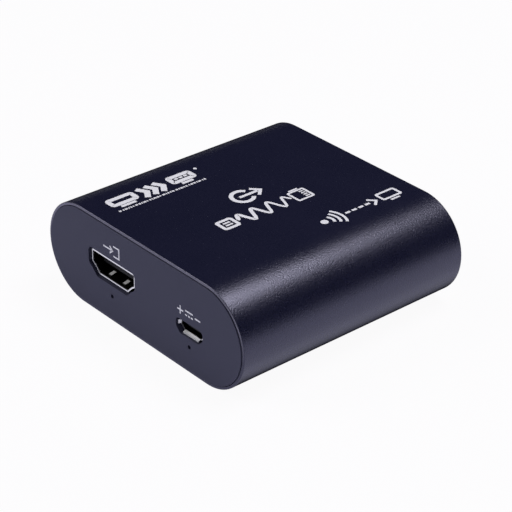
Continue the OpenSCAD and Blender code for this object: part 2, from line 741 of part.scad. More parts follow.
// Space for the plug and its latch, from y0 to y1, each wall moved out by gap
module plug_space(y0, y1, gap) {
    span([-plug_w / 2 - gap, y0, plug_floor - gap], [plug_w / 2 + gap, y1, plug_top + gap]);
    span([-latch_w / 2 - gap, y0, plug_floor - latch_step_h - gap],
        [latch_w / 2 + gap, y1, plug_floor]);
    span([-latch_step_w / 2 - gap, y0, plug_floor - 2 * latch_step_h - gap],
        [latch_step_w / 2 + gap, y1, plug_floor]);
}

module jack_housing() color([0.07, 0.07, 0.07]) at_jack() {
    half = wire_d / 2 + groove_gap;
    difference() {
        span([-jack_w / 2, jack_front, 0], [jack_w / 2, jack_front + jack_len, jack_h]);
        plug_space(0, jack_front + plug_d, 0);
        for (i = [0 : spring_n - 1]) translate([spring_x(i), 0, 0]) {
            span([-half, pivot_y - bend_r - 2 * half, plug_top - over],
                [half, pivot_y + bend_r + half, jack_h + over]);
            span([-half, pivot_y, run_z - half], [half, jack_front + jack_len + over, jack_h + over]);
            span([-half, pivot_y, plug_top - over], [half, pivot_y + slot_len, pivot_z + half]);
        }
        for (side = [-1, 1]) translate([side * jack_lamp_x, 0, jack_lamp_lift]) {
            span([-jack_lamp_w / 2 - jack_lamp_gap, 0, -jack_lamp_gap],
                [jack_lamp_w / 2 + jack_lamp_gap, jack_front + jack_lamp_len + jack_lamp_gap,
                    jack_lamp_h + jack_lamp_gap]);
            span([-jack_lamp_pin / 2 - jack_lamp_gap, jack_front + jack_lamp_len / 4,
                -jack_lamp_lift - over],
                [jack_lamp_pin / 2 + jack_lamp_gap, jack_front + jack_lamp_len + jack_lamp_gap, 0]);
        }
    }
    for (side = [-1, 1])
        translate([side * post_x_share * jack_w / 2, jack_front + post_y_share * jack_len, 0])
            mirror([0, 0, 1]) cylinder(h = board_t + post_tip, d = post_d);
}

// Folded sheet round the housing, with a leg on each side through the board
module jack_shield() color([0.72, 0.72, 0.74]) at_jack() {
    inner_w = shield_half_w - jack_sheet;
    difference() {
        span([-shield_half_w, 0, 0], [shield_half_w, shield_back + jack_sheet, shield_top]);
        span([-inner_w, jack_sheet, -over], [inner_w, shield_back, shield_top - jack_sheet]);
        plug_space(-over, jack_front, shield_rim);
        for (side = [-1, 1]) translate([side * jack_lamp_x, 0, jack_lamp_lift])
            span([-jack_lamp_w / 2 - jack_lamp_gap, -over, -jack_lamp_gap],
                [jack_lamp_w / 2 + jack_lamp_gap, jack_front, jack_lamp_h + jack_lamp_gap]);
    }
    for (side = [0, 1]) mirror([side, 0, 0])
        span([inner_w, shield_leg_y_share * shield_back - shield_leg_w / 2, pin_tip_z - board_top],
            [shield_half_w, shield_leg_y_share * shield_back + shield_leg_w / 2, jack_h / 2]);
}

// Free spring of each contact, from its bend down into the plug's space
module jack_spring_contacts() color([0.88, 0.72, 0.35]) at_jack()
    for (i = [0 : spring_n - 1]) translate([spring_x(i), pivot_y, pivot_z]) {
        sphere(d = wire_d);
        rotate([-90 - spring_slope, 0, 0]) cylinder(h = spring_len, d = wire_d);
    }

// Fixed rest of each contact: its bend, the run over the roof and the tail through the board
module jack_contact_leads() color([0.88, 0.72, 0.35]) at_jack()
    for (i = [0 : spring_n - 1]) translate([spring_x(i), 0, 0]) {
        translate([0, pivot_y, pivot_z + bend_r]) rotate([90, 0, -90])
            rotate([0, 0, -90 + bend_stop]) rotate_extrude(angle = 180 - bend_stop)
                translate([bend_r, 0]) circle(d = wire_d);
        translate([0, pivot_y, run_z]) rotate([-90, 0, 0])
            cylinder(h = tail_row_y(i) - pivot_y, d = wire_d);
        translate([0, tail_row_y(i), run_z]) sphere(d = wire_d);
        translate([0, tail_row_y(i), pin_tip_z - board_top])
            cylinder(h = run_z - pin_tip_z + board_top, d = wire_d);
    }

// Lamp in a lower corner of the jack, with two pins through the board
module jack_lamp(side) at_jack() translate([side * jack_lamp_x, 0, jack_lamp_lift]) {
    span([-jack_lamp_w / 2, 0, 0], [jack_lamp_w / 2, jack_front + jack_lamp_len, jack_lamp_h]);
    for (share = jack_lamp_pin_y_share) translate([0, jack_front + share * jack_lamp_len, 0])
        translate([0, 0, pin_tip_z - board_top - jack_lamp_lift])
            cylinder(h = board_top - pin_tip_z + jack_lamp_lift + jack_lamp_h / 2, d = jack_lamp_pin);
}

module jack_link_lamp() color([0.35, 0.75, 0.35]) jack_lamp(-1);

module jack_activity_lamp() color([0.95, 0.7, 0.2]) jack_lamp(1);

// Row of n gull-wing leads along X at the pitch, leaving a body's side at Y 0 towards -Y
module lead_row(n, pitch, width, shoulder_z) {
    riser = lead_reach / 2;
    for (i = [0 : n - 1]) translate([(i - (n - 1) / 2) * pitch, 0, 0]) prism_x(width) polygon([
        [0, shoulder_z], [-riser, shoulder_z], [-riser, 0], [-lead_reach, 0], [-lead_reach, lead_t],
        [-riser - lead_t, lead_t], [-riser - lead_t, shoulder_z + lead_t], [0, shoulder_z + lead_t]]);
}

// Chip body on the board with a pin mark, w across, l along and t thick
module chip_body(w, l, t) {
    difference() {
        span([-w / 2, -l / 2, chip_stand], [w / 2, l / 2, chip_stand + t]);
        translate([-w / 2 + pin_mark_inset, -l / 2 + pin_mark_inset, chip_stand + t - pin_mark_deep])
            cylinder(h = over, d = pin_mark_d);
    }
}

// Puts children on the board at shares of half its width and half its length
module on_board(share) {
    translate([share[0] * board_half_w, share[1] * board_half_l, board_top]) children();
}

module transmitter_chip() color([0.1, 0.1, 0.1]) translate([chip_x, chip_y, board_top])
    chip_body(chip_w, chip_w, chip_t);

module transmitter_chip_leads() color([0.8, 0.8, 0.8]) translate([chip_x, chip_y, board_top])
    for (turn = [0 : 90 : 270]) rotate([0, 0, turn]) translate([0, -chip_w / 2, 0])
        lead_row(chip_leads_n, chip_pitch, chip_pitch * chip_lead_w_share, chip_stand + chip_t / 2);

module heat_pad() color([0.6, 0.65, 0.75]) translate([chip_x, chip_y, chip_top])
    span([-chip_w / 2, -chip_w / 2, 0], [chip_w / 2, chip_w / 2, heat_pad_t]);

// Heat sink with upright fins along Y
module heat_sink() color([0.7, 0.7, 0.72]) translate([chip_x, chip_y, chip_top + heat_pad_t]) {
    span([-chip_w / 2, -chip_w / 2, 0], [chip_w / 2, chip_w / 2, sink_base_t]);
    for (i = [0 : sink_fins_n - 1])
        translate([-chip_w / 2 + i * (chip_w - sink_fin_t) / (sink_fins_n - 1), -chip_w / 2, 0])
            cube([sink_fin_t, chip_w, sink_base_t + sink_fin_h]);
}

module equaliser_chip() color([0.1, 0.1, 0.1]) on_board(equaliser_share)
    chip_body(equaliser_w, equaliser_w, equaliser_t);

module memory_chip() color([0.1, 0.1, 0.1]) on_board(memory_share)
    chip_body(memory_l, memory_w, memory_t);

module memory_chip_leads() color([0.8, 0.8, 0.8]) on_board(memory_share)
    for (turn = [0, 180]) rotate([0, 0, turn]) translate([0, -memory_w / 2, 0])
        lead_row(memory_leads_n, memory_pitch, memory_pitch / 3, chip_stand + memory_t / 2);

module voltage_regulator() color([0.1, 0.1, 0.1]) on_board(regulator_share)
    chip_body(regulator_w, regulator_d, regulator_t);

module regulator_leads() color([0.8, 0.8, 0.8]) on_board(regulator_share) {
    shoulder = chip_stand + regulator_t / 2;
    translate([0, -regulator_d / 2, 0]) lead_row(3, regulator_pitch, regulator_lead_w, shoulder);
    translate([0, regulator_d / 2, 0]) rotate([0, 0, 180]) lead_row(1, 0, regulator_tab_w, shoulder);
}

// Section of a part with half-round ends, length along Y
module slot_section(length, width) {
    square([width, length - width], center = true);
    for (end = [-1, 1]) translate([0, end * (length - width) / 2]) circle(d = width);
}

module crystal_can() color([0.82, 0.82, 0.84]) on_board(crystal_share)
    translate([0, 0, crystal_base_h]) linear_extrude(crystal_h) slot_section(crystal_len, crystal_w);

module crystal_base() color([0.08, 0.08, 0.08]) on_board(crystal_share)
    linear_extrude(crystal_base_h)
        square([crystal_w, crystal_len] + 2 * crystal_base_margin * [1, 1], center = true);

// Ferrite block with a ring slot round its drum, and the coil that fills the slot's lower part
module power_inductor() color([0.22, 0.22, 0.24]) on_board(inductor_share) difference() {
    corner = inductor_w / 2;
    linear_extrude(inductor_h) polygon(rounded([
        [corner, -corner, inductor_corner_r], [corner, corner, inductor_corner_r],
        [-corner, corner, inductor_corner_r], [-corner, -corner, inductor_corner_r]]));
    coil_ring(inductor_h + over, 0);
}

module inductor_coil() color([0.7, 0.4, 0.2]) on_board(inductor_share)
    coil_ring(inductor_h - coil_ring_deep / 2, edge_clear);

// Ring in the inductor's slot up to the height top, each wall moved in by gap
module coil_ring(top, gap) {
    floor_z = inductor_h - coil_ring_deep;
    translate([0, 0, floor_z]) difference() {
        cylinder(h = top - floor_z, d = inductor_w * coil_ring_share[1] - 2 * gap);
        translate([0, 0, -over])
            cylinder(h = top - floor_z + 2 * over, d = inductor_w * coil_ring_share[0] + 2 * gap);
    }
}

// Aluminium cans with a rolled bead above the base
module capacitor_cans() color([0.78, 0.78, 0.8]) for (place = can_places_share) on_board(place)
    translate([0, 0, can_base_h]) difference() {
        cylinder(h = can_h, d = can_d);
        translate([0, 0, can_h * can_bead_z_share]) rotate_extrude()
            translate([can_d / 2 + can_bead_r / 2, 0]) circle(can_bead_r);
    }

module capacitor_bases() color([0.08, 0.08, 0.08]) for (place = can_places_share) on_board(place) {
    side = can_d / 2 + can_base_margin;
    cut = side / 3;
    linear_extrude(can_base_h) polygon([[-side, -side], [side, -side], [side, side - cut],
        [side - cut, side], [cut - side, side], [-side, side - cut]]);
}

// Small two-ended parts soldered flat on the board, one at each place
module small_parts(places_share, w, d, t) {
    for (place = places_share) on_board(place) translate([-w / 2, -d / 2, 0]) cube([w, d, t]);
}

module ceramic_capacitors() color([0.7, 0.6, 0.45])
    small_parts(ceramic_places_share, ceramic_w, ceramic_d, ceramic_t);

module chip_resistors() color([0.12, 0.12, 0.12])
    small_parts(resistor_places_share, resistor_w, resistor_d, resistor_t);

module surge_arresters() color([0.15, 0.15, 0.15])
    small_parts(arrester_places_share, arrester_w, arrester_d, arrester_t);

module line_transformer() color([0.12, 0.12, 0.12]) translate([0, coil_box_y, board_top])
    chip_body(coil_box_w, coil_box_d, coil_box_h);

module line_transformer_leads() color([0.8, 0.8, 0.8]) translate([0, coil_box_y, board_top])
    for (turn = [0, 180]) rotate([0, 0, turn]) translate([0, -coil_box_d / 2, 0])
        lead_row(coil_box_leads_n, coil_box_pitch, coil_box_pitch / 2, chip_stand + lead_reach);

sleeve();
input_end_plate();
network_end_plate();
circuit_board();
video_socket_shell();
video_socket_insulator();
video_socket_contacts();
power_socket_shell();
power_socket_insulator();
power_socket_contacts();
signal_lamp();
power_lamp();
lamp_lenses();
jack_housing();
jack_shield();
jack_spring_contacts();
jack_contact_leads();
jack_link_lamp();
jack_activity_lamp();
transmitter_chip();
transmitter_chip_leads();
heat_pad();
heat_sink();
equaliser_chip();
memory_chip();
memory_chip_leads();
voltage_regulator();
regulator_leads();
crystal_can();
crystal_base();
power_inductor();
inductor_coil();
capacitor_cans();
capacitor_bases();
ceramic_capacitors();
chip_resistors();
line_transformer();
line_transformer_leads();
surge_arresters();
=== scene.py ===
"""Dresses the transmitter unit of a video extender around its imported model, in a plain studio.

X runs across the unit, Y from the input end plate to the network end plate, and Z up. Lengths are in
metres; sizes that read better in millimetres are written as a number times MM.
"""

import logging
import math
from dataclasses import dataclass, field
from enum import Enum

import bmesh
import bpy
from mathutils import Matrix, Vector


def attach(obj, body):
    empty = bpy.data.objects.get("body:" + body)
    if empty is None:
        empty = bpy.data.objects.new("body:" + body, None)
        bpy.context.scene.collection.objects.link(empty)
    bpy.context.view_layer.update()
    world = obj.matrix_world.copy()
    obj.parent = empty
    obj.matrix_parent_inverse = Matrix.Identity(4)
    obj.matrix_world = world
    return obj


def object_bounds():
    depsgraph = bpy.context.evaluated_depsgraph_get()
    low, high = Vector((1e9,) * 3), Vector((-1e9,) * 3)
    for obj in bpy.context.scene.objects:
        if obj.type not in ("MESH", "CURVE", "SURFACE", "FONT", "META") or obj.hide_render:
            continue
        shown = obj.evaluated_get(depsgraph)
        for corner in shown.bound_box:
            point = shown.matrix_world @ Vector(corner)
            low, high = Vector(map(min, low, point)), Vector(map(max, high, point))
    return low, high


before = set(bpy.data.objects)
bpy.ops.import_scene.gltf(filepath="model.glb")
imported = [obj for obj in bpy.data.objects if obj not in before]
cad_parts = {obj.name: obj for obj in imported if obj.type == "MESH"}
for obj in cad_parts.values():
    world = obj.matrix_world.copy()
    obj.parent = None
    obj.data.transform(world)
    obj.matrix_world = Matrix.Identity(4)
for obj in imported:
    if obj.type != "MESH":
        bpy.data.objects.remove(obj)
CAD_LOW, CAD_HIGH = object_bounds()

LOG = logging.getLogger("dressing")
MM = 0.001
UNIT_BODY = "unit"
NO_SPRINGS = 1000 * MM
Point = tuple[float, float]
Colour = tuple[float, float, float]


class Signal:
    """One output of a material's node, with the operators that shader maths needs."""

    def __init__(self, graph: "Graph", socket: bpy.types.NodeSocket) -> None:
        """Keeps the socket and the graph that it belongs to."""
        self.graph = graph
        self.socket = socket

    def maths(self, operation: str, *terms: "Signal | float") -> "Signal":
        """Adds one Math node.

        Args:
            operation: The node's operation.
            terms: What its inputs hold, in order.

        Returns:
            The node's value.
        """
        return self.graph.node("ShaderNodeMath", {"operation": operation}, dict(enumerate(terms)))

    def __add__(self, other: "Signal | float") -> "Signal":
        """Self plus other."""
        return self.maths("ADD", self, other)

    def __radd__(self, other: float) -> "Signal":
        """A number plus self."""
        return self.maths("ADD", other, self)

    def __sub__(self, other: "Signal | float") -> "Signal":
        """Self less other."""
        return self.maths("SUBTRACT", self, other)

    def __rsub__(self, other: float) -> "Signal":
        """A number less self."""
        return self.maths("SUBTRACT", other, self)

    def __mul__(self, other: "Signal | float") -> "Signal":
        """Self times other."""
        return self.maths("MULTIPLY", self, other)

    def __rmul__(self, other: float) -> "Signal":
        """A number times self."""
        return self.maths("MULTIPLY", other, self)

    def __abs__(self) -> "Signal":
        """Self without its sign."""
        return self.maths("ABSOLUTE", self)

    def ramp(self, low: float, high: float) -> "Signal":
        """How far self has gone from low to high, smoothly and held between 0 and 1.

        Args:
            low: Where the answer is 0.
            high: Where the answer is 1, which may be below low.

        Returns:
            The share.
        """
        if high < low:
            return 1.0 - self.ramp(high, low)
        settings = {"interpolation_type": "SMOOTHSTEP"}
        inputs = {"Value": self, "From Min": low, "From Max": high}
        return self.graph.node("ShaderNodeMapRange", settings, inputs)


class Graph:
    """The nodes of one material."""

    def __init__(self, name: str) -> None:
        """Starts an empty material.

        Args:
            name: The material's name.
        """
        self.material = bpy.data.materials.new(name)
        self.material.use_nodes = True
        self.tree = self.material.node_tree
        self.tree.nodes.clear()

    def node(
        self,
        kind: str,
        settings: dict[str, object] | None = None,
        inputs: dict[str | int, object] | None = None,
        outlet: str | int = 0,
    ) -> Signal:
        """Adds any node.

        Args:
            kind: The node's type.
            settings: Its own settings, which are set first.
            inputs: The values or links of its sockets, by name or number.
            outlet: The output that is wanted.

        Returns:
            That output.
        """
        made = self.tree.nodes.new(kind)
        for key, value in (settings or {}).items():
            setattr(made, key, value)
        for key, value in (inputs or {}).items():
            self.plug(made.inputs[key], value)
        return Signal(self, made.outputs[outlet] if len(made.outputs) else None)

    def plug(self, socket: bpy.types.NodeSocket, value: object) -> None:
        """Links a signal to a socket, or sets the socket to a number, a vector or a colour.

        Args:
            socket: The socket to feed.
            value: What to feed it.
        """
        if isinstance(value, Signal):
            self.tree.links.new(value.socket, socket)
        elif socket.type == "RGBA":
            socket.default_value = (*value[:3], 1.0)
        else:
            socket.default_value = value

    def place(self) -> Signal:
        """The point on the object, in the unit's own frame."""
        return self.node("ShaderNodeTexCoord", outlet="Object")

    def axis(self, letter: str) -> Signal:
        """One coordinate of the point on the object."""
        return self.node("ShaderNodeSeparateXYZ", None, {0: self.place()}, letter)

    def grain(self, size: float, detail: float = 2.0, stretch: Colour = (1.0, 1.0, 1.0)) -> Signal:
        """Noise in the unit's own frame.

        Args:
            size: The size of its largest grains.
            detail: How many finer layers lie on them.
            stretch: How much finer it is along X, Y and Z.

        Returns:
            A share from 0 to 1.
        """
        scaled = self.node(
            "ShaderNodeVectorMath", {"operation": "MULTIPLY"}, {0: self.place(), 1: stretch}
        )
        inputs = {"Vector": scaled, "Scale": 1.0 / size, "Detail": detail}
        return self.node("ShaderNodeTexNoise", None, inputs, "Fac")

    def blend(self, share: Signal | float, low: object, high: object) -> Signal:
        """A colour between two others.

        Args:
            share: How far it is from low to high.
            low: A colour or a signal.
            high: A colour or a signal.

        Returns:
            The colour.
        """
        return self.node("ShaderNodeMix", {"data_type": "RGBA"}, {0: share, 6: low, 7: high}, 2)

    def bump(self, height: Signal, depth: float) -> Signal:
        """Small relief.

        Args:
            height: The relief, from 0 to 1.
            depth: How high a height of 1 stands.

        Returns:
            The normal.
        """
        inputs = {"Strength": 1.0, "Distance": depth, "Height": height}
        return self.node("ShaderNodeBump", None, inputs, "Normal")

    def surface(self, sockets: dict[str, object]) -> None:
        """Makes one glossy or metal shader the material's surface."""
        self.show(self.node("ShaderNodeBsdfPrincipled", None, sockets))

    def show(self, shader: Signal) -> None:
        """Makes a shader the material's surface."""
        self.node("ShaderNodeOutputMaterial", None, {"Surface": shader})


@dataclass(frozen=True)
class Finish:
    """What every finish shares."""

    name: str

    def paint(self, graph: Graph) -> None:
        """Adds the finish's nodes.

        Args:
            graph: The material's nodes.
        """
        raise NotImplementedError(self.name)

    def material(self) -> bpy.types.Material:
        """Makes the finish's material once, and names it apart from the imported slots.

        Returns:
            The material.
        """
        name = self.name + "_finish"
        made = bpy.data.materials.get(name)
        if made is None:
            graph = Graph(name)
            self.paint(graph)
            made = graph.material
        return made


@dataclass(frozen=True)
class BlastedAnodising(Finish):
    """Bead-blasted and dyed aluminium, with paler machined ends that carry painted light: a painted
    highlight along their top and painted shade low down.

    Towards the object's outline the gloss gives way to a dull near-black: painted shade, standing in for
    the shaded floor under the unit that these edges reflect.
    """

    dye: Colour = (0.003, 0.0035, 0.014)
    worn_dye: Colour = (0.005, 0.0055, 0.02)
    cut_tone_painted_lit: Colour = (0.15, 0.145, 0.172)
    cut_tone_painted_shaded: Colour = (0.045, 0.045, 0.06)
    cut_painted_shade_z: float = 9 * MM
    cut_painted_highlight_z: float = 19 * MM
    cut_metal: float = 0.7
    gloss_level: float = 1.0
    gloss_tint: Colour = (0.78, 0.76, 1.0)
    outline_painted_shade_tone: Colour = (0.005, 0.005, 0.013)
    outline_shade_start: float = 0.5
    outline_shade_end: float = 0.94
    end_y: float = 29.8 * MM
    cut_depth: float = 0.1 * MM
    bead_size: float = 0.28 * MM
    bead_depth: float = 0.052 * MM
    roughness: float = 0.3

    def paint(self, graph: Graph) -> None:
        """Adds the finish's nodes.

        Args:
            graph: The material's nodes.
        """
        beads = graph.grain(self.bead_size, 2.0)
        cloud = graph.grain(9 * MM, 3.0)
        dyed = graph.blend(beads.ramp(0.35, 0.65) * 0.5 + cloud * 0.5, self.dye, self.worn_dye)
        cut = abs(graph.axis("Y")).ramp(self.end_y - self.cut_depth, self.end_y)
        # Painted light on the machined ends: paler towards the top as a painted highlight, darker low down
        # as painted shade.
        height = graph.axis("Z").ramp(self.cut_painted_shade_z, self.cut_painted_highlight_z)
        bare = graph.blend(height, self.cut_tone_painted_shaded, self.cut_tone_painted_lit)
        sockets = {
            "Base Color": graph.blend(cut, dyed, bare),
            "Metallic": cut * self.cut_metal,
            "Roughness": self.roughness + (beads - 0.5) * 0.22 + (cloud - 0.5) * 0.06,
            "Specular IOR Level": self.gloss_level,
            "Specular Tint": self.gloss_tint,
            "Normal": graph.bump(beads, self.bead_depth),
        }
        gloss = graph.node("ShaderNodeBsdfPrincipled", None, sockets)
        # Painted shade: a dull near-black that takes over from the gloss towards the outline.
        dull = {"Base Color": self.outline_painted_shade_tone, "Roughness": 0.9, "Specular IOR Level": 0.0}
        outline_painted_shade = graph.node("ShaderNodeBsdfPrincipled", None, dull)
        outline_facing = graph.node("ShaderNodeLayerWeight", None, {"Blend": 0.5}, "Facing")
        share = outline_facing.ramp(self.outline_shade_start, self.outline_shade_end)
        graph.show(graph.node("ShaderNodeMixShader", None, {0: share, 1: gloss, 2: outline_painted_shade}))


@dataclass(frozen=True)
class MouldedPlastic(Finish):
    """Moulded plastic with a fine spark-eroded grain."""

    tone: Colour = (0.056, 0.056, 0.092)
    spread: float = 0.12
    spark_size: float = 0.18 * MM
    spark_depth: float = 0.006 * MM
    roughness: float = 0.55
    gloss_level: float = 0.18

    def paint(self, graph: Graph) -> None:
        """Adds the finish's nodes.

        Args:
            graph: The material's nodes.
        """
        sparks = graph.grain(self.spark_size, 2.0)
        flow = graph.grain(14 * MM, 2.0)
        dark = tuple(c * (1.0 - self.spread) for c in self.tone)
        pale = tuple(c * (1.0 + self.spread) for c in self.tone)
        sockets = {
            "Base Color": graph.blend(sparks * 0.6 + flow * 0.4, dark, pale),
            "Roughness": self.roughness + (sparks - 0.5) * 0.14,
            "Specular IOR Level": self.gloss_level,
            "Normal": graph.bump(sparks, self.spark_depth),
        }
        graph.surface(sockets)


@dataclass(frozen=True)
class PlatedMetal(Finish):
    """Stamped, drawn or plated metal with faint draw lines and dull patches."""

    tone: Colour = (0.62, 0.61, 0.6)
    dull_tone: Colour = (0.5, 0.49, 0.49)
    roughness: float = 0.24
    line_size: float = 0.12 * MM
    line_run: Colour = (1.0, 0.06, 1.0)
    line_depth: float = 0.0015 * MM

    def paint(self, graph: Graph) -> None:
        """Adds the finish's nodes.

        Args:
            graph: The material's nodes.
        """
        lines = graph.grain(self.line_size, 2.0, self.line_run)
        patches = graph.grain(1.6 * MM, 3.0)
        sockets = {
            "Base Color": graph.blend(patches.ramp(0.35, 0.7), self.tone, self.dull_tone),
            "Metallic": 1.0,
            "Roughness": self.roughness + (lines - 0.5) * 0.12 + (patches - 0.5) * 0.12,
            "Normal": graph.bump(lines, self.line_depth),
        }
        graph.surface(sockets)


@dataclass(frozen=True)
class LampResin(Finish):
    """Clear or tinted lamp resin, a little cloudy."""

    tint: Colour = (0.75, 0.78, 0.8)
    cloud_tint: Colour = (0.9, 0.9, 0.9)
    clearness: float = 0.55
    roughness: float = 0.14

    def paint(self, graph: Graph) -> None:
        """Adds the finish's nodes.

        Args:
            graph: The material's nodes.
        """
        cloud = graph.grain(0.5 * MM, 2.0)
        sockets = {
            "Base Color": graph.blend(cloud, self.tint, self.cloud_tint),
            "Roughness": self.roughness + (cloud - 0.5) * 0.08,
            "Transmission Weight": self.clearness,
        }
        graph.surface(sockets)


@dataclass(frozen=True)
class BoardLacquer(Finish):
    """Solder lacquer over copper tracks, with bare glass-fibre edges."""

    lacquer: Colour = (0.006, 0.05, 0.022)
    over_copper: Colour = (0.012, 0.1, 0.04)
    edge: Colour = (0.35, 0.3, 0.14)
    track_pitch: float = 0.9 * MM
    track_share: float = 0.42

    def paint(self, graph: Graph) -> None:
        """Adds the finish's nodes.

        Args:
            graph: The material's nodes.
        """
        bend = graph.grain(11 * MM, 1.0)
        run = (graph.axis("X") + bend * (6 * MM)) * (1.0 / self.track_pitch)
        wave = graph.node("ShaderNodeMath", {"operation": "PINGPONG"}, {0: run, 1: 0.5})
        zone = graph.grain(7 * MM, 0.0).ramp(0.48, 0.52)
        tracks = wave.ramp(self.track_share * 0.5, self.track_share * 0.5 + 0.06) * zone
        facing = graph.node("ShaderNodeTexCoord", outlet="Normal")
        upright = abs(graph.node("ShaderNodeSeparateXYZ", None, {0: facing}, "Z"))
        face = graph.blend(tracks, self.lacquer, self.over_copper)
        sockets = {
            "Base Color": graph.blend(upright.ramp(0.4, 0.6), self.edge, face),
            "Roughness": 0.32 + graph.grain(0.3 * MM, 2.0) * 0.1,
            "Normal": graph.bump(tracks, 0.01 * MM),
        }
        graph.surface(sockets)

@dataclass(frozen=True)
class PrintInk(Finish):
    """Pad-printed ink, a little uneven."""

    tone: Colour = (0.93, 0.92, 0.96)
    thin_tone: Colour = (0.84, 0.83, 0.88)
    roughness: float = 0.5

    def paint(self, graph: Graph) -> None:
        """Adds the finish's nodes.

        Args:
            graph: The material's nodes.
        """
        film = graph.grain(0.25 * MM, 3.0)
        sockets = {
            "Base Color": graph.blend(film.ramp(0.3, 0.6), self.thin_tone, self.tone),
            "Roughness": self.roughness + (film - 0.5) * 0.1,
            "Specular IOR Level": 0.3,
            "Normal": graph.bump(film, 0.003 * MM),
        }
        graph.surface(sockets)


@dataclass(frozen=True)
class SocketShell(PlatedMetal):
    """Plated sheet with a bright mouth, painted shade that darkens the inside, and springs that are kept
    out of that shade as painted highlights.

    Depths are along Y from mouth_y. The springs lie spring_x to each side of middle_x, and a shell
    whose springs are hidden has NO_SPRINGS there.
    """

    tone: Colour = (0.93, 0.92, 0.89)
    dull_tone: Colour = (0.86, 0.85, 0.81)
    inside_painted_shade_tone: Colour = (0.035, 0.035, 0.034)
    roughness: float = 0.34
    mouth_y: float = -29.5 * MM
    unshaded_depth: float = 0.12 * MM
    painted_shade_fade: float = 0.25 * MM
    middle_x: float = -9.9 * MM
    spring_x: float = 2.41 * MM
    spring_half_w: float = 0.0
    spring_y: float = -27.9 * MM
    spring_half_len: float = 0.85 * MM

    def paint(self, graph: Graph) -> None:
        """Adds the finish's nodes.

        Args:
            graph: The material's nodes.
        """
        lines = graph.grain(self.line_size, 2.0, self.line_run)
        patches = graph.grain(1.6 * MM, 3.0)
        # Painted shade: from a little way behind the mouth the plating turns near-black, as the recess
        # would be in shade.
        inside_painted_shade = graph.axis("Y").ramp(
            self.mouth_y + self.unshaded_depth, self.mouth_y + self.unshaded_depth + self.painted_shade_fade
        )
        plated = graph.blend(patches.ramp(0.35, 0.7), self.tone, self.dull_tone)
        # Painted highlight: the springs are left out of the painted shade and made less metallic, so they
        # show pale inside the socket.
        aside = abs(abs(graph.axis("X") - self.middle_x) - self.spring_x)
        along = abs(graph.axis("Y") - self.spring_y)
        spring_painted_gleam = aside.ramp(self.spring_half_w, self.spring_half_w * 0.8) * along.ramp(
            self.spring_half_len, self.spring_half_len * 0.7
        )
        sockets = {
            "Base Color": graph.blend(inside_painted_shade * (1.0 - spring_painted_gleam), plated, self.inside_painted_shade_tone),
            "Metallic": 1.0 - spring_painted_gleam * 0.75,
            "Roughness": self.roughness + (lines - 0.5) * 0.12 + (patches - 0.5) * 0.12,
            "Normal": graph.bump(lines, self.line_depth),
        }
        graph.surface(sockets)


ANODISED = BlastedAnodising("anodised_sleeve")
PLATE = MouldedPlastic("plate_plastic")
BLACK_PLASTIC = MouldedPlastic(
    "socket_plastic", tone=(0.004, 0.004, 0.005), roughness=0.5, gloss_level=0.2
)
JACK_PLASTIC = MouldedPlastic("jack_plastic", tone=(0.014, 0.014, 0.015), roughness=0.42)
STEEL = PlatedMetal("plated_steel")
VIDEO_SHELL = SocketShell("video_shell_steel", spring_half_w=0.5 * MM)
POWER_SHELL = SocketShell(
    "power_shell_steel", mouth_y=-29.6 * MM, unshaded_depth=0.62 * MM, spring_x=NO_SPRINGS
)
GOLD = PlatedMetal("gold_plate", tone=(0.83, 0.56, 0.2), dull_tone=(0.7, 0.46, 0.16))
TIN = PlatedMetal("tinned_leads", tone=(0.66, 0.66, 0.66), dull_tone=(0.5, 0.5, 0.5), roughness=0.32)
BARE_ALUMINIUM = PlatedMetal("bare_aluminium", tone=(0.7, 0.71, 0.72), dull_tone=(0.58, 0.58, 0.6))
COPPER = PlatedMetal("copper_wire", tone=(0.62, 0.24, 0.09), dull_tone=(0.5, 0.17, 0.06))
LAMP_BODY = MouldedPlastic("lamp_body", tone=(0.6, 0.6, 0.56), spread=0.05, roughness=0.4)
CLEAR_LENS = LampResin("lamp_lens")
GREEN_LENS = LampResin("green_lamp", tint=(0.12, 0.5, 0.16), cloud_tint=(0.3, 0.7, 0.3))
AMBER_LENS = LampResin("amber_lamp", tint=(0.75, 0.33, 0.04), cloud_tint=(0.85, 0.5, 0.15))
CHIP_RESIN = MouldedPlastic("chip_resin", tone=(0.02, 0.02, 0.021), roughness=0.6)
FERRITE = MouldedPlastic("ferrite", tone=(0.05, 0.048, 0.046), roughness=0.7)
HEAT_PAD = MouldedPlastic("heat_pad", tone=(0.32, 0.4, 0.48), spread=0.06, roughness=0.75)
CERAMIC = MouldedPlastic("ceramic", tone=(0.42, 0.3, 0.19), spread=0.08, roughness=0.45)
RESISTOR_GLAZE = MouldedPlastic("resistor_glaze", tone=(0.03, 0.03, 0.032), roughness=0.3)
BOARD = BoardLacquer("board_resin")
INK = PrintInk("print_ink")


def dress(finish: Finish, *names: str) -> None:
    """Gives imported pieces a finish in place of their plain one.

    Args:
        finish: The finish.
        names: The pieces.
    """
    for name in names:
        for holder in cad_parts[name].material_slots:
            holder.material = finish.material()
    LOG.info("%s: %s", finish.name, ", ".join(names))


def arc(centre: Point, radius: float, start: float, end: float, steps: int = 24) -> list[Point]:
    """Points along an arc.

    Args:
        centre: Its centre.
        radius: Its radius.
        start: The angle that it starts at, in degrees.
        end: The angle that it ends at.
        steps: How many parts it has.

    Returns:
        The points, both ends among them.
    """
    angles = [math.radians(start + (end - start) * i / steps) for i in range(steps + 1)]
    return [(centre[0] + radius * math.cos(a), centre[1] + radius * math.sin(a)) for a in angles]


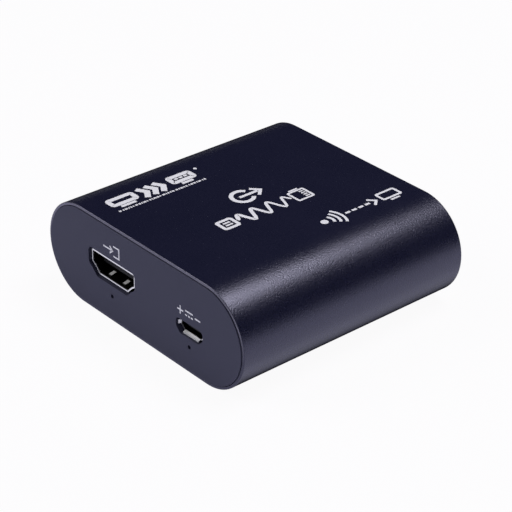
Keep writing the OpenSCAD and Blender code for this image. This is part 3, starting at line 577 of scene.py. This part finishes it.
def rounded(low: Point, high: Point, radius: float, steps: int = 6) -> list[Point]:
    """A rectangle with round corners, anticlockwise.

    Args:
        low: Its lower left corner.
        high: Its upper right corner.
        radius: The radius of its corners.
        steps: How many parts each corner has.

    Returns:
        Its points.
    """
    x0, y0, x1, y1 = low[0] + radius, low[1] + radius, high[0] - radius, high[1] - radius
    corners = [(x1, y1, 0), (x0, y1, 90), (x0, y0, 180), (x1, y0, 270)]
    return [p for x, y, a in corners for p in arc((x, y), radius, a, a + 90, steps)]


class Stencil:
    """Flat printed shapes, in millimetres: right along the reading direction, and up."""

    def __init__(self) -> None:
        """Starts with no shapes."""
        self.shapes: list[tuple[list[Point], list[Point] | None, bool]] = []

    def fill(self, outline: list[Point]) -> "Stencil":
        """Adds a filled convex shape."""
        self.shapes.append((outline, None, False))
        return self

    def disc(self, centre: Point, radius: float) -> "Stencil":
        """Adds a filled circle."""
        return self.fill(arc(centre, radius, 0, 360 - 360 / 32, 31))

    def bar(self, low: Point, high: Point) -> "Stencil":
        """Adds a filled rectangle."""
        return self.fill([low, (high[0], low[1]), high, (low[0], high[1])])

    def stroke(self, line: list[Point], width: float | list[float], closed: bool = False) -> "Stencil":
        """Adds a line of ink with mitred corners.

        Args:
            line: The points along its middle.
            width: Its width, or one width for each point.
            closed: Whether it joins up with its start.

        Returns:
            The stencil.
        """
        points = [Vector(p) for p in line]
        count = len(points)
        widths = width if isinstance(width, list) else [width] * count
        left, right = [], []
        for i, point in enumerate(points):
            before = points[i - 1] if closed or i else point
            after = points[(i + 1) % count] if closed or i < count - 1 else point
            into = (point - before).normalized() if before is not point else None
            out = (after - point).normalized() if after is not point else into
            into = out if into is None else into
            middle = (into + out).normalized()
            side = Vector((-middle.y, middle.x))
            reach = widths[i] / 2 / max(side.dot(Vector((-out.y, out.x))), 0.5)
            left.append(tuple(point + side * reach))
            right.append(tuple(point - side * reach))
        self.shapes.append((left, right, closed))
        return self


@dataclass(frozen=True)
class PrintedFace:
    """A flat face that takes print: a point on it, its reading direction and its upward direction."""

    origin: Vector
    along: Vector
    up: Vector
    film: float = 0.015 * MM
    sunk: float = 0.01 * MM

    def lay(self, name: str, stencil: Stencil) -> bpy.types.Object:
        """Prints a stencil on the face as one thin piece.

        Args:
            name: The piece's name.
            stencil: Its shapes.

        Returns:
            The piece, which rides on the unit.
        """
        mesh = bmesh.new()
        for first, second, closed in stencil.shapes:
            self._lay_shape(mesh, first, second, closed)
        bmesh.ops.recalc_face_normals(mesh, faces=mesh.faces)
        data = bpy.data.meshes.new(name)
        mesh.to_mesh(data)
        mesh.free()
        data.materials.append(INK.material())
        piece = bpy.data.objects.new(name, data)
        bpy.context.scene.collection.objects.link(piece)
        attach(piece, UNIT_BODY)
        LOG.info("printed %s", name)
        return piece

    def _lay_shape(
        self, mesh: bmesh.types.BMesh, first: list[Point], second: list[Point] | None, closed: bool
    ) -> None:
        """Adds one shape's slab.

        Args:
            mesh: The mesh that grows.
            first: A filled shape's outline, or a stroke's left edge.
            second: A stroke's right edge.
            closed: Whether the stroke joins up with its start.
        """
        out = self.along.cross(self.up)
        rows = []
        for line in (first, second or []):
            flat = [self.origin + (self.along * u + self.up * v) * MM for u, v in line]
            rows.append([mesh.verts.new(p + out * self.film) for p in flat])
            rows.append([mesh.verts.new(p - out * self.sunk) for p in flat])
        top, under, far_top, far_under = rows
        count = len(first)
        if second is None:
            mesh.faces.new(top)
            mesh.faces.new(under[::-1])
            for i in range(count):
                j = (i + 1) % count
                mesh.faces.new([under[i], under[j], top[j], top[i]])
            return
        for i in range(count if closed else count - 1):
            j = (i + 1) % count
            mesh.faces.new([top[i], far_top[i], far_top[j], top[j]])
            mesh.faces.new([under[j], far_under[j], far_under[i], under[i]])
            mesh.faces.new([top[j], under[j], under[i], top[i]])
            mesh.faces.new([far_top[i], far_under[i], far_under[j], far_top[j]])
        if not closed:
            mesh.faces.new([top[0], under[0], far_under[0], far_top[0]])
            mesh.faces.new([far_top[-1], far_under[-1], under[-1], top[-1]])


@dataclass
class TopPrints:
    """The signs on the sleeve's flat top, which read along the unit."""

    face: PrintedFace = field(
        default_factory=lambda: PrintedFace(
            Vector((0, 0, CAD_HIGH.z)), Vector((0, 1, 0)), Vector((-1, 0, 0))
        )
    )
    video_start: float = -25.0
    video_foot: float = 14.4
    video_height: float = 4.5
    bold: float = 1.15
    caption_rise: float = 13.05
    caption_height: float = 0.55
    caption_end: float = -2.4
    ring_centre: Point = (-1.3, 2.2)
    ring_radius: float = 2.4
    ring_bold: float = 0.95
    cable_start: float = -13.4
    cable_end: float = 11.0
    cable_rise: float = -4.9
    sending_start: float = 3.5
    sending_rise: float = -16.9

    def build(self) -> None:
        """Prints all the signs."""
        self.face.lay("picture_sending_sign", self._picture_sign())
        self.face.lay("caption_ticks", self._caption())
        self.face.lay("outward_arrow_sign", self._arrow_sign())
        self.face.lay("cable_sign", self._cable_sign())
        self.face.lay("sending_sign", self._sending_sign())

    def _picture_sign(self) -> Stencil:
        """The bold sign: a screen, three chevrons and a network plug.

        Returns:
            The sign's shapes.
        """
        ink, u, v = Stencil(), self.video_start, self.video_foot
        half, top = self.bold / 2, self.video_foot + self.video_height
        ink.stroke(rounded((u + half, v + 1.55), (u + 7.2 - half, top - half), 0.45), self.bold, True)
        ink.bar((u + 1.7, v), (u + 5.5, v + 0.8))
        for i in range(3):
            start = u + 8.4 + i * 2.15
            ink.stroke([(start, v + 0.1), (start + 1.35, v + 2.25), (start, v + 4.4)], 1.3)
        plug = u + 15.9
        ink.stroke(rounded((plug + half, v + 1.55), (plug + 6.6 - half, top - half), 0.3), self.bold, True)
        for i in range(3):
            ink.bar((plug + 1.6 + i * 1.25, v + 2.5), (plug + 2.5 + i * 1.25, top - 1.35))
        ink.bar((plug + 1.8, v), (plug + 4.8, v + 0.8))
        ink.disc((-0.9, top - 0.5), 0.42)
        return ink

    def _caption(self) -> Stencil:
        """The fine line of ticks under the bold sign.

        Returns:
            The sign's shapes.
        """
        ink, place, turn = Stencil(), self.video_start, 0
        lengths = (0.55, 0.3, 0.7, 0.3, 0.45, 0.3, 0.6)
        while place < self.caption_end:
            length = lengths[turn % len(lengths)]
            ink.bar((place, self.caption_rise), (place + length, self.caption_rise + self.caption_height))
            place += length + (0.2 if turn % 5 else 0.4)
            turn += 1
        return ink

    def _arrow_sign(self) -> Stencil:
        """The round sign: an open ring with an arrow that leaves it.

        Returns:
            The sign's shapes.
        """
        ink, (u, v) = Stencil(), self.ring_centre
        ink.stroke(arc((u, v), self.ring_radius, 36, 324, 48), self.ring_bold)
        ink.stroke([(u - 0.8, v), (u + 4.1, v)], self.ring_bold * 0.8)
        ink.stroke([(u + 3.2, v + 1.7), (u + 4.9, v), (u + 3.2, v - 1.7)], self.ring_bold * 0.8)
        return ink

    def _cable_sign(self) -> Stencil:
        """The long sign: a cable with a plug at each end.

        Returns:
            The sign's shapes.
        """
        ink, u, v, end = Stencil(), self.cable_start, self.cable_rise, self.cable_end
        ink.stroke(rounded((u + 0.4, v - 1.6), (u + 4.0, v + 1.6), 0.4), 0.8, True)
        ink.bar((u + 1.3, v - 0.7), (u + 3.1, v - 0.2))
        ink.bar((u + 1.3, v + 0.2), (u + 3.1, v + 0.7))
        start, stop = u + 4.8, end - 5.0
        count, waves, swing = 140, 3.5, 1.95
        line, widths = [], []
        for i in range(count + 1):
            share = i / count
            rise = swing * math.sin(math.pi * min(1.0, share * 8, (1 - share) * 8) / 2)
            line.append((start + (stop - start) * share, v + rise * math.sin(2 * math.pi * waves * share)))
            widths.append(0.95 - 0.4 * share)
        ink.stroke(line, widths)
        ink.stroke(rounded((end - 4.4, v - 1.9), (end - 0.3, v + 1.9), 0.3), 0.55, True)
        for i in range(4):
            ink.bar((end - 1.9, v - 1.3 + i * 0.74), (end - 0.8, v - 1.3 + i * 0.74 + 0.38))
        ink.bar((end - 3.6, v + 2.3), (end - 1.2, v + 2.75))
        return ink

    def _sending_sign(self) -> Stencil:
        """The last sign: a dot with waves, a dashed line and a screen.

        Returns:
            The sign's shapes.
        """
        ink, u, v = Stencil(), self.sending_start, self.sending_rise
        ink.disc((u + 0.9, v), 0.85)
        for i in range(3):
            ink.stroke(arc((u + 0.9, v), 2.1 + i * 1.3, -36, 36, 16), 0.62)
        for i in range(4):
            ink.bar((u + 6.7 + i * 1.85, v - 0.31), (u + 8.0 + i * 1.85, v + 0.31))
        ink.stroke([(u + 13.9, v + 1.4), (u + 15.4, v), (u + 13.9, v - 1.4)], 0.62)
        ink.stroke(rounded((u + 16.9, v - 0.85), (u + 21.8, v + 1.75), 0.3), 0.6, True)
        ink.bar((u + 18.1, v - 2.0), (u + 20.6, v - 1.5))
        return ink


@dataclass
class PlatePrints:
    """The signs on the input end plate, which read across the unit."""

    face: PrintedFace = field(
        default_factory=lambda: PrintedFace(
            Vector((0, CAD_LOW.y, 0)), Vector((1, 0, 0)), Vector((0, 0, 1))
        )
    )
    fine: float = 0.34
    input_start: float = -12.4
    input_rise: float = 17.35
    power_start: float = 11.8
    power_rise: float = 13.75

    def build(self) -> None:
        """Prints both signs."""
        self.face.lay("input_sign", self._input_sign())
        self.face.lay("direct_current_sign", self._power_sign())

    def _input_sign(self) -> Stencil:
        """An arrow that runs into a bracket.

        Returns:
            The sign's shapes.
        """
        ink, u, v = Stencil(), self.input_start, self.input_rise
        ink.stroke([(u, v), (u + 3.1, v)], self.fine)
        ink.stroke([(u + 2.2, v + 0.8), (u + 3.2, v), (u + 2.2, v - 0.8)], self.fine)
        ink.stroke([(u + 3.4, v + 1.15), (u + 5.3, v + 1.15), (u + 5.3, v - 1.15), (u + 3.4, v - 1.15)],
                   self.fine)
        return ink

    def _power_sign(self) -> Stencil:
        """A plus, the bar over dashes that stands for direct current, and a minus.

        Returns:
            The sign's shapes.
        """
        ink, u, v, half = Stencil(), self.power_start, self.power_rise, self.fine / 2
        ink.bar((u, v - half), (u + 1.9, v + half))
        ink.bar((u + 0.95 - half, v + half), (u + 0.95 + half, v + 0.95))
        ink.bar((u + 0.95 - half, v - 0.95), (u + 0.95 + half, v - half))
        ink.bar((u + 2.5, v + 0.35), (u + 4.9, v + 0.35 + self.fine))
        for i in range(3):
            ink.bar((u + 2.5 + i * 0.9, v - 0.6), (u + 3.1 + i * 0.9, v - 0.6 + self.fine))
        ink.bar((u + 5.5, v - half), (u + 7.2, v + half))
        return ink


@dataclass
class Case:
    """The sleeve, its two end plates and the signs on them."""

    top: TopPrints = field(default_factory=TopPrints)
    plate: PlatePrints = field(default_factory=PlatePrints)

    def build(self) -> None:
        """Prints the signs."""
        self.top.build()
        self.plate.build()

    def dress(self) -> None:
        """Gives the case its finishes."""
        dress(ANODISED, "sleeve")
        dress(PLATE, "input_end_plate", "network_end_plate")


@dataclass
class Sockets:
    """The video socket, the power socket and the status lamps at the input end."""

    def dress(self) -> None:
        """Gives the sockets and lamps their finishes."""
        dress(VIDEO_SHELL, "video_socket_shell")
        dress(POWER_SHELL, "power_socket_shell")
        dress(BLACK_PLASTIC, "video_socket_insulator", "power_socket_insulator")
        dress(GOLD, "video_socket_contacts", "power_socket_contacts")
        dress(LAMP_BODY, "signal_lamp", "power_lamp")
        dress(CLEAR_LENS, "lamp_lenses")


@dataclass
class NetworkJack:
    """The jack at the network end, with its springs and lamps."""

    def dress(self) -> None:
        """Gives the jack its finishes."""
        dress(JACK_PLASTIC, "jack_housing")
        dress(STEEL, "jack_shield")
        dress(GOLD, "jack_spring_contacts")
        dress(TIN, "jack_contact_leads")
        dress(GREEN_LENS, "jack_link_lamp")
        dress(AMBER_LENS, "jack_activity_lamp")


@dataclass
class Board:
    """The circuit board and the parts on it."""

    def dress(self) -> None:
        """Gives the board and its parts their finishes."""
        dress(BOARD, "circuit_board")
        dress(CHIP_RESIN, "transmitter_chip", "equaliser_chip", "memory_chip", "voltage_regulator",
              "line_transformer", "surge_arresters")
        dress(TIN, "transmitter_chip_leads", "memory_chip_leads", "regulator_leads",
              "line_transformer_leads")
        dress(HEAT_PAD, "heat_pad")
        dress(BARE_ALUMINIUM, "heat_sink", "crystal_can", "capacitor_cans")
        dress(BLACK_PLASTIC, "crystal_base", "capacitor_bases")
        dress(FERRITE, "power_inductor")
        dress(COPPER, "inductor_coil")
        dress(CERAMIC, "ceramic_capacitors")
        dress(RESISTOR_GLAZE, "chip_resistors")


class Side(Enum):
    """Where a soft box hangs, as the direction to it from the unit."""

    ABOVE_BEHIND = (0.21, 0.29, 0.88)
    FRONT_LEFT = (-0.55, -0.62, 0.56)


@dataclass(frozen=True)
class SoftBox:
    """One soft box, which faces the unit."""

    name: str
    side: Side
    distance: float
    width: float
    height: float
    radiance: float

    def hang(self, target: Vector) -> None:
        """Hangs the soft box.

        Args:
            target: The point that it faces.
        """
        data = bpy.data.lights.new(self.name, "AREA")
        data.shape = "RECTANGLE"
        data.size = self.width
        data.size_y = self.height
        data.energy = self.radiance * math.pi * self.width * self.height
        lamp = bpy.data.objects.new(self.name, data)
        toward = Vector(self.side.value).normalized()
        lamp.location = target + toward * self.distance
        lamp.rotation_mode = "QUATERNION"
        lamp.rotation_quaternion = (-toward).to_track_quat("-Z", "Y")
        bpy.context.scene.collection.objects.link(lamp)


@dataclass(frozen=True)
class PaleSweep(Finish):
    """The studio's white sweep, which looks white and still takes a soft shadow.

    Gloss sees a painted reflection on it: a cooler white glow that is full round the unit out to one reach
    and gives way to plain paper past a second, wider reach.
    """

    paper: Colour = (0.84, 0.85, 0.95)
    glow: Colour = (1.0, 0.995, 1.0)
    painted_reflection_tone: Colour = (0.82, 0.82, 1.0)
    seen_share: float = 0.95
    mirrored_share: float = 0.7
    painted_reflection_reach: float = 60 * MM
    painted_reflection_end: float = 130 * MM

    def paint(self, graph: Graph) -> None:
        """Adds the finish's nodes.

        Args:
            graph: The material's nodes.
        """
        fibres = graph.grain(3 * MM, 2.0)
        thin = tuple(c * 0.985 for c in self.paper)
        paper = graph.node(
            "ShaderNodeBsdfDiffuse", None, {"Color": graph.blend(fibres, thin, self.paper)}
        )
        glow, painted_reflection_glow = (
            graph.node("ShaderNodeEmission", None, {"Color": c, "Strength": 1.0})
            for c in (self.glow, self.painted_reflection_tone)
        )
        seen, mirrored, through = (
            graph.node("ShaderNodeLightPath", outlet=o)
            for o in ("Is Camera Ray", "Is Glossy Ray", "Is Transmission Ray")
        )
        # Painted reflection: near the unit, gloss sees a cooler glow in place of the paper.
        aside = abs(graph.axis("X"))
        reach = graph.node("ShaderNodeMath", {"operation": "MAXIMUM"}, {0: aside, 1: abs(graph.axis("Y"))})
        painted_reflection_pool = reach.ramp(self.painted_reflection_end, self.painted_reflection_reach)
        mirrored = (mirrored + through) * painted_reflection_pool * self.mirrored_share
        lit = graph.node("ShaderNodeMixShader", None, {0: mirrored, 1: paper, 2: painted_reflection_glow})
        shown = graph.node(
            "ShaderNodeMixShader", None, {0: seen * self.seen_share, 1: lit, 2: glow}
        )
        graph.show(shown)


@dataclass
class Studio:
    """The camera, the white sweep and the soft boxes."""

    target: Vector = field(default_factory=lambda: Vector((0.77, 0.0, 9.51)) * MM)
    eye: Vector = field(default_factory=lambda: Vector((256.6, -221.9, 204.5)) * MM)
    roll: float = 0.53
    lens: float = 129.97
    sensor: float = 36.0
    sweep_radius: float = 1.5
    sweep_bend: float = 0.2
    sweep_wall: float = 0.03
    room_light: Colour = (0.032, 0.034, 0.066)
    boxes: tuple[SoftBox, ...] = (
        SoftBox("key_soft_box", Side.ABOVE_BEHIND, 0.6, 0.36, 0.24, 8.2),
        SoftBox("front_soft_box", Side.FRONT_LEFT, 0.9, 0.5, 0.5, 4.4),
    )

    def build(self) -> None:
        """Sets up the whole studio."""
        self._place_camera()
        self._lay_sweep()
        for box in self.boxes:
            box.hang(self.target)
        world = bpy.data.worlds.new("dim_room")
        world.use_nodes = True
        background = next(n for n in world.node_tree.nodes if n.type == "BACKGROUND")
        background.inputs["Color"].default_value = (*self.room_light, 1.0)
        bpy.context.scene.world = world
        bpy.context.scene.view_settings.view_transform = "Standard"
        LOG.info("studio: camera, sweep and %d soft boxes", len(self.boxes))

    def _place_camera(self) -> None:
        """Puts the camera where the photograph was taken from."""
        data = bpy.data.cameras.new("camera")
        data.lens = self.lens
        data.sensor_width = self.sensor
        data.clip_start = 0.01
        data.clip_end = 20.0
        camera = bpy.data.objects.new("camera", data)
        back = (self.eye - self.target).normalized()
        right = Vector((0, 0, 1)).cross(back).normalized()
        up = back.cross(right)
        turn = math.radians(self.roll)
        rolled_right = right * math.cos(turn) + up * math.sin(turn)
        rolled_up = up * math.cos(turn) - right * math.sin(turn)
        camera.matrix_world = Matrix.Translation(self.eye) @ Matrix(
            (rolled_right, rolled_up, back)
        ).transposed().to_4x4()
        bpy.context.scene.collection.objects.link(camera)
        bpy.context.scene.camera = camera

    def _lay_sweep(self) -> None:
        """Lays the white sweep: a round floor that turns up into a low wall."""
        bend = [
            (self.sweep_radius + p[0], p[1])
            for p in arc((0.0, self.sweep_bend), self.sweep_bend, -90, 0, 12)
        ]
        wall = self.sweep_radius + self.sweep_bend
        profile = [(0.0, 0.0), (0.3, 0.0), (0.9, 0.0), *bend, (wall, self.sweep_wall + self.sweep_bend)]
        mesh = bmesh.new()
        points = [mesh.verts.new((r, 0.0, z)) for r, z in profile]
        edges = [mesh.edges.new(pair) for pair in zip(points, points[1:])]
        bmesh.ops.spin(
            mesh, geom=points + edges, cent=(0, 0, 0), axis=(0, 0, 1), angle=math.tau, steps=96
        )
        bmesh.ops.remove_doubles(mesh, verts=mesh.verts, dist=1e-5)
        bmesh.ops.recalc_face_normals(mesh, faces=mesh.faces)
        for face in mesh.faces:
            face.smooth = True
        data = bpy.data.meshes.new("white_sweep")
        mesh.to_mesh(data)
        mesh.free()
        data.materials.append(PaleSweep("sweep_paper").material())
        sweep = bpy.data.objects.new("white_sweep", data)
        bpy.context.scene.collection.objects.link(sweep)


def main() -> None:
    """Sets up the studio, and prints and dresses the unit in it."""
    logging.basicConfig(level=logging.INFO, format="%(name)s: %(message)s")
    studio = Studio()
    studio.build()
    case = Case()
    case.build()
    for assembly in (case, Sockets(), NetworkJack(), Board()):
        assembly.dress()


if __name__ == "__main__":
    main()
